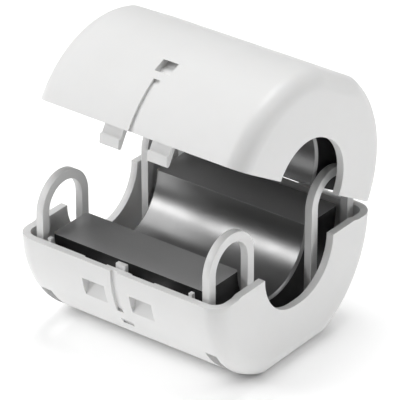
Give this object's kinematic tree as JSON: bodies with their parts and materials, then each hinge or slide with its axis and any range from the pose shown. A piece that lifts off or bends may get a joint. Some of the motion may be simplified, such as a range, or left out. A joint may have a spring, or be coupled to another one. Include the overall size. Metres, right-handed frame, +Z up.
{
  "type": "clip on ferrite bead",
  "caption": "Hinged plastic snap case that clips half-round ferrite cores round a cable to suppress noise, with arches that grip the cable and hooks that latch the lid",
  "frame": {"origin": "on the cable's axis, at the middle of the core's bore", "axes": "X along the cable, Y towards the hinge at the back, Z up from the lower shell's flat foot"},
  "size_m": [0.0304, 0.0333, 0.0367],
  "materials": {
    "case_lower": "satin",
    "case_upper": "satin",
    "ferrite_lower": "ground and polished on the joint faces and in the bore",
    "ferrite_upper": "ground and polished on the joint faces and in the bore"
  },
  "bodies": {
    "base": {"lower_shell": "case_lower", "lower_core": "ferrite_lower"},
    "lid": {"upper_shell": "case_upper", "upper_core": "ferrite_upper"}
  },
  "joints": [
    {"name": "hinge", "type": "hinge", "parent": "base", "child": "lid", "pos_m": [0, 0.0161, 0.0007], "axis": [-1, 0, 0], "range_deg": [-30.6, 89.4]}
  ]
}
